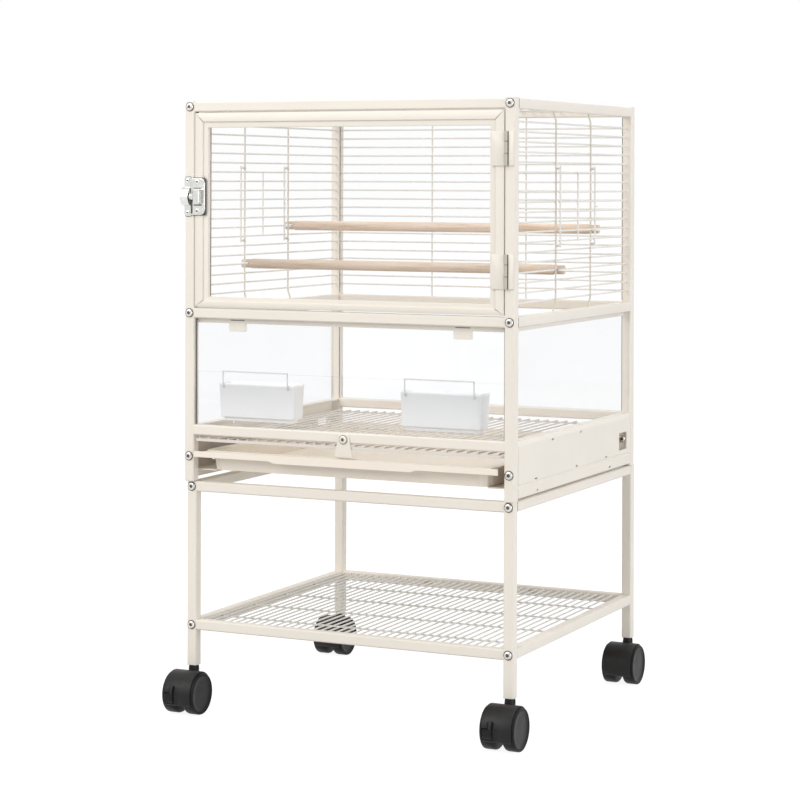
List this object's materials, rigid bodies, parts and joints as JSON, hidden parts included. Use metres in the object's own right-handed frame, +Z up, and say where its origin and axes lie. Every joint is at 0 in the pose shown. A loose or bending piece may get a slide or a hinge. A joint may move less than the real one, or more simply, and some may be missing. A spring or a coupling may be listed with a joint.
{
  "type": "parrot cage",
  "caption": "Bird cage on a rolling stand, with a hinged clear door, wire sides with sliding hatches, clear lower panes, hanging cups, perches, a pull-out tray and a wire shelf.",
  "frame": {"origin": "centre of the footprint at floor level, under the casters' wheels", "axes": "+Z up, the door faces -Y, +X to the right seen from the front"},
  "size_m": [0.463, 0.4526, 0.747],
  "materials": {
    "cream_paint": "satin",
    "wire_paint": "satin",
    "clear_acrylic": "clear gloss",
    "chrome_steel": "polished",
    "beech": "sanded",
    "white_plastic": "gloss",
    "tray_paint": "satin",
    "black_plastic": "satin",
    "wheel_plastic": "satin"
  },
  "bodies": {
    "cage": {"front_frame": "cream_paint", "rear_frame": "cream_paint", "left_side_frame": "cream_paint", "right_side_frame": "cream_paint", "left_housing": "cream_paint", "right_housing": "cream_paint", "lower_hinge_post_leaf": "cream_paint", "upper_hinge_post_leaf": "cream_paint", "stand_front_frame": "cream_paint", "stand_rear_frame": "cream_paint", "stand_left_rail": "cream_paint", "stand_right_rail": "cream_paint", "back_grille": "wire_paint", "top_grille": "wire_paint", "floor_grate": "wire_paint", "shelf": "wire_paint", "front_guard_pane": "clear_acrylic", "front_window_pane": "clear_acrylic", "left_pane": "clear_acrylic", "right_pane": "clear_acrylic", "rear_pane": "clear_acrylic", "latch_keeper": "chrome_steel", "stop_tab_screw": "chrome_steel", "cage_screw_left_top": "chrome_steel", "cage_screw_left_middle": "chrome_steel", "cage_screw_left_lower": "chrome_steel", "cage_screw_right_top": "chrome_steel", "cage_screw_right_middle": "chrome_steel", "cage_screw_right_lower": "chrome_steel", "stand_screw_left_top": "chrome_steel", "stand_screw_left_shelf": "chrome_steel", "stand_screw_right_top": "chrome_steel", "stand_screw_right_shelf": "chrome_steel", "front_perch": "beech", "rear_perch": "beech"},
    "door": {"door_frame": "cream_paint", "door_pane": "clear_acrylic", "upper_hinge_door_leaf": "cream_paint", "lower_hinge_door_leaf": "cream_paint", "latch_body": "chrome_steel"},
    "bolt": {"latch_bolt": "chrome_steel"},
    "left_hatch": {"left_hatch": "wire_paint"},
    "right_hatch": {"right_hatch": "wire_paint"},
    "tray": {"tray": "tray_paint"},
    "stop_tab": {"stop_tab": "cream_paint"},
    "left_cup": {"left_cup": "white_plastic", "left_cup_hanger": "white_plastic"},
    "right_cup": {"right_cup": "white_plastic", "right_cup_hanger": "white_plastic"},
    "front_left_swivel": {"front_left_caster_hood": "black_plastic"},
    "front_left_wheels": {"front_left_caster_wheels": "wheel_plastic"},
    "front_right_swivel": {"front_right_caster_hood": "black_plastic"},
    "front_right_wheels": {"front_right_caster_wheels": "wheel_plastic"},
    "rear_left_swivel": {"rear_left_caster_hood": "black_plastic"},
    "rear_left_wheels": {"rear_left_caster_wheels": "wheel_plastic"},
    "rear_right_swivel": {"rear_right_caster_hood": "black_plastic"},
    "rear_right_wheels": {"rear_right_caster_wheels": "wheel_plastic"},
    "front_left_brake": {"front_left_caster_brake": "black_plastic"},
    "front_right_brake": {"front_right_caster_brake": "black_plastic"}
  },
  "joints": [
    {"name": "door_hinge", "type": "hinge", "parent": "cage", "child": "door", "pos_m": [0.2079, -0.19366, 0.6176], "axis": [0, 0, 1], "range_deg": [0, 170]},
    {"name": "latch_bolt_slide", "type": "slide", "parent": "door", "child": "bolt", "axis": [-1, 0, 0], "range_m": [0, 0.007]},
    {"name": "left_hatch_slide", "type": "slide", "parent": "cage", "child": "left_hatch", "axis": [0, 0, 1], "range_m": [0, 0.055]},
    {"name": "right_hatch_slide", "type": "slide", "parent": "cage", "child": "right_hatch", "axis": [0, 0, 1], "range_m": [0, 0.055]},
    {"name": "tray_slide", "type": "slide", "parent": "cage", "child": "tray", "axis": [0, -1, 0], "range_m": [0, 0.3]},
    {"name": "stop_tab_pivot", "type": "hinge", "parent": "cage", "child": "stop_tab", "pos_m": [0, -0.19196, 0.344], "axis": [0, 1, 0], "range_deg": [-120, 120]},
    {"name": "left_cup_lift", "type": "slide", "parent": "cage", "child": "left_cup", "axis": [0, 0, 1], "range_m": [0, 0.045]},
    {"name": "right_cup_lift", "type": "slide", "parent": "cage", "child": "right_cup", "axis": [0, 0, 1], "range_m": [0, 0.045]},
    {"name": "front_left_caster_swivel", "type": "hinge", "parent": "cage", "child": "front_left_swivel", "pos_m": [-0.21015, -0.18131, 0.055], "axis": [0, 0, 1], "continuous": true},
    {"name": "front_left_wheel_roll", "type": "hinge", "parent": "front_left_swivel", "child": "front_left_wheels", "pos_m": [-0.21015, -0.19731, 0.025], "axis": [1, 0, 0], "continuous": true},
    {"name": "front_right_caster_swivel", "type": "hinge", "parent": "cage", "child": "front_right_swivel", "pos_m": [0.21015, -0.18131, 0.055], "axis": [0, 0, 1], "continuous": true},
    {"name": "front_right_wheel_roll", "type": "hinge", "parent": "front_right_swivel", "child": "front_right_wheels", "pos_m": [0.21015, -0.19731, 0.025], "axis": [1, 0, 0], "continuous": true},
    {"name": "rear_left_caster_swivel", "type": "hinge", "parent": "cage", "child": "rear_left_swivel", "pos_m": [-0.21015, 0.21599, 0.055], "axis": [0, 0, 1], "continuous": true},
    {"name": "rear_left_wheel_roll", "type": "hinge", "parent": "rear_left_swivel", "child": "rear_left_wheels", "pos_m": [-0.21015, 0.19999, 0.025], "axis": [1, 0, 0], "continuous": true},
    {"name": "rear_right_caster_swivel", "type": "hinge", "parent": "cage", "child": "rear_right_swivel", "pos_m": [0.21015, 0.21599, 0.055], "axis": [0, 0, 1], "continuous": true},
    {"name": "rear_right_wheel_roll", "type": "hinge", "parent": "rear_right_swivel", "child": "rear_right_wheels", "pos_m": [0.21015, 0.19999, 0.025], "axis": [1, 0, 0], "continuous": true},
    {"name": "front_left_brake_lever", "type": "hinge", "parent": "front_left_swivel", "child": "front_left_brake", "pos_m": [-0.21015, -0.22234, 0.03776], "axis": [-1, 0, 0], "range_deg": [0, 25]},
    {"name": "front_right_brake_lever", "type": "hinge", "parent": "front_right_swivel", "child": "front_right_brake", "pos_m": [0.21015, -0.22234, 0.03776], "axis": [-1, 0, 0], "range_deg": [0, 25]}
  ]
}
